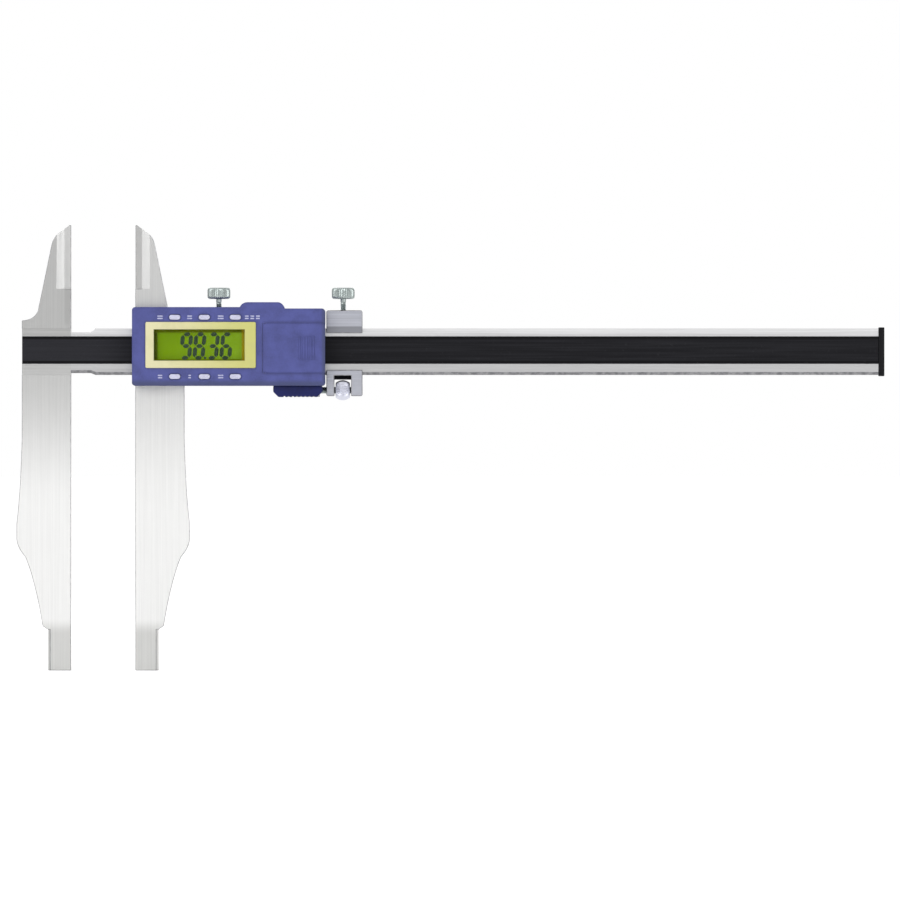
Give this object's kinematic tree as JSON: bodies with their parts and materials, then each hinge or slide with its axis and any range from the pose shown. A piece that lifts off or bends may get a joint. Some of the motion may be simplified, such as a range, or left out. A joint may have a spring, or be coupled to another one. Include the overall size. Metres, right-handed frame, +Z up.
{
  "type": "digital caliper",
  "caption": "Digital caliper with long nib jaws, knife-edge upper jaws, a sliding display unit and a fine-adjustment clamp on a flat steel beam.",
  "frame": {"origin": "centre of the fixed jaw's long outside-measuring face: 63.55 mm below the beam's lower edge and at the jaws' mid thickness", "axes": "+X along the beam away from the fixed jaw, +Y to the back (the display faces -Y), +Z up to the knife-edge jaws"},
  "size_m": [0.3733, 0.0172, 0.1916],
  "materials": {
    "satin_steel": "satin ground and brushed, clear",
    "block_steel": "satin, slightly grey",
    "dark_steel": "blackened",
    "screw_steel": "bright turned, nickel tint",
    "brass": "plain machined",
    "battery_steel": "bright stamped can",
    "contact_nickel": "nickel plated spring sheet",
    "scale_black": "semi matt black film",
    "circuit_green": "solder resist",
    "housing_blue": "fine textured moulding",
    "grip_navy": "fine textured moulding",
    "bezel_cream": "satin",
    "display_green": "green reflective display",
    "clear_plastic": "clear hard coated",
    "button_lavender": "satin",
    "silicone_grey": "matt",
    "frame_plastic": "satin"
  },
  "bodies": {
    "beam": {"beam": "satin_steel", "fixed_jaw": "satin_steel", "jaw_rivet_1": "screw_steel", "jaw_rivet_2": "screw_steel", "jaw_rivet_3": "screw_steel", "scale_board": "circuit_green", "scale_film": "scale_black", "end_stop": "dark_steel", "end_stop_screw_1": "screw_steel", "end_stop_screw_2": "screw_steel"},
    "slider": {"slider_frame": "satin_steel", "slider_gib": "brass", "gib_screw_1": "screw_steel", "gib_screw_2": "screw_steel", "fine_adjust_rod": "screw_steel", "rod_lock_pin": "screw_steel", "housing_screw_1": "screw_steel", "housing_screw_2": "screw_steel", "housing_screw_3": "screw_steel", "housing_screw_4": "screw_steel", "board_screw_1": "screw_steel", "board_screw_2": "screw_steel", "board_screw_3": "screw_steel", "front_housing": "housing_blue", "lcd_bezel": "bezel_cream", "lcd_window": "clear_plastic", "lcd_panel": "display_green", "lcd_holder": "frame_plastic", "zebra_strip": "silicone_grey", "readout_board": "circuit_green", "button_membrane_upper": "silicone_grey", "button_membrane_lower": "silicone_grey", "battery_holder": "frame_plastic", "battery": "battery_steel", "battery_contact_negative": "contact_nickel", "battery_contact_positive": "contact_nickel", "data_connector": "frame_plastic", "thumb_rest": "grip_navy", "thumb_rest_screw_1": "screw_steel", "thumb_rest_screw_2": "screw_steel"},
    "slider_lock_travel": {"slider_lock_pad": "brass"},
    "slider_lock_knob": {"slider_lock_screw": "screw_steel"},
    "clamp": {"clamp_block": "block_steel"},
    "clamp_lock_travel": {"clamp_lock_pad": "brass"},
    "clamp_lock_knob": {"clamp_lock_screw": "screw_steel"},
    "adjust_nut": {"fine_adjust_nut": "screw_steel"},
    "button_upper_1": {"button_upper_1": "button_lavender"},
    "button_upper_2": {"button_upper_2": "button_lavender"},
    "button_upper_3": {"button_upper_3": "button_lavender"},
    "button_lower_1": {"button_lower_1": "button_lavender"},
    "button_lower_2": {"button_lower_2": "button_lavender"},
    "button_lower_3": {"button_lower_3": "button_lavender"},
    "battery_cover": {"battery_cover": "housing_blue"},
    "data_port_cover": {"data_port_cover": "housing_blue"}
  },
  "joints": [
    {"name": "slider_slide", "type": "slide", "parent": "beam", "child": "slider", "axis": [1, 0, 0], "range_m": [-0.0277, 0.2155]},
    {"name": "slider_lock_rise", "type": "slide", "parent": "slider", "child": "slider_lock_travel", "axis": [0, 0, 1], "range_m": [-0.00025, 0.0015]},
    {"name": "slider_lock_turn", "type": "hinge", "parent": "slider_lock_travel", "child": "slider_lock_knob", "pos_m": [0.0636, -0.00125, 0.09855], "axis": [0, 0, 1], "range_deg": [-184, 1084]},
    {"name": "fine_slide", "type": "slide", "parent": "slider", "child": "clamp", "axis": [1, 0, 0], "range_m": [0, 0.006]},
    {"name": "fine_adjust_turn", "type": "hinge", "parent": "clamp", "child": "adjust_nut", "pos_m": [0.1169, -0.001, 0.057], "axis": [1, 0, 0], "range_deg": [-4, 4324]},
    {"name": "clamp_lock_rise", "type": "slide", "parent": "clamp", "child": "clamp_lock_travel", "axis": [0, 0, 1], "range_m": [-0.00025, 0.0015]},
    {"name": "clamp_lock_turn", "type": "hinge", "parent": "clamp_lock_travel", "child": "clamp_lock_knob", "pos_m": [0.1171, -0.00125, 0.09855], "axis": [0, 0, 1], "range_deg": [-184, 1084]},
    {"name": "button_upper_1_press", "type": "slide", "parent": "slider", "child": "button_upper_1", "axis": [0, 1, 0], "range_m": [0, 0.0006]},
    {"name": "button_upper_2_press", "type": "slide", "parent": "slider", "child": "button_upper_2", "axis": [0, 1, 0], "range_m": [0, 0.0006]},
    {"name": "button_upper_3_press", "type": "slide", "parent": "slider", "child": "button_upper_3", "axis": [0, 1, 0], "range_m": [0, 0.0006]},
    {"name": "button_lower_1_press", "type": "slide", "parent": "slider", "child": "button_lower_1", "axis": [0, 1, 0], "range_m": [0, 0.0006]},
    {"name": "button_lower_2_press", "type": "slide", "parent": "slider", "child": "button_lower_2", "axis": [0, 1, 0], "range_m": [0, 0.0006]},
    {"name": "button_lower_3_press", "type": "slide", "parent": "slider", "child": "button_lower_3", "axis": [0, 1, 0], "range_m": [0, 0.0006]},
    {"name": "battery_cover_slide", "type": "slide", "parent": "slider", "child": "battery_cover", "axis": [1, 0, 0], "range_m": [0, 0.022]},
    {"name": "data_port_cover_slide", "type": "slide", "parent": "slider", "child": "data_port_cover", "axis": [1, 0, 0], "range_m": [0, 0.007]}
  ],
  "couplings": [
    {"joint": "slider_lock_turn", "follows": "slider_lock_rise", "rad_per_m": 12566},
    {"joint": "clamp_lock_turn", "follows": "clamp_lock_rise", "rad_per_m": 12566},
    {"joint": "fine_adjust_turn", "follows": "fine_slide", "rad_per_m": 12566}
  ]
}
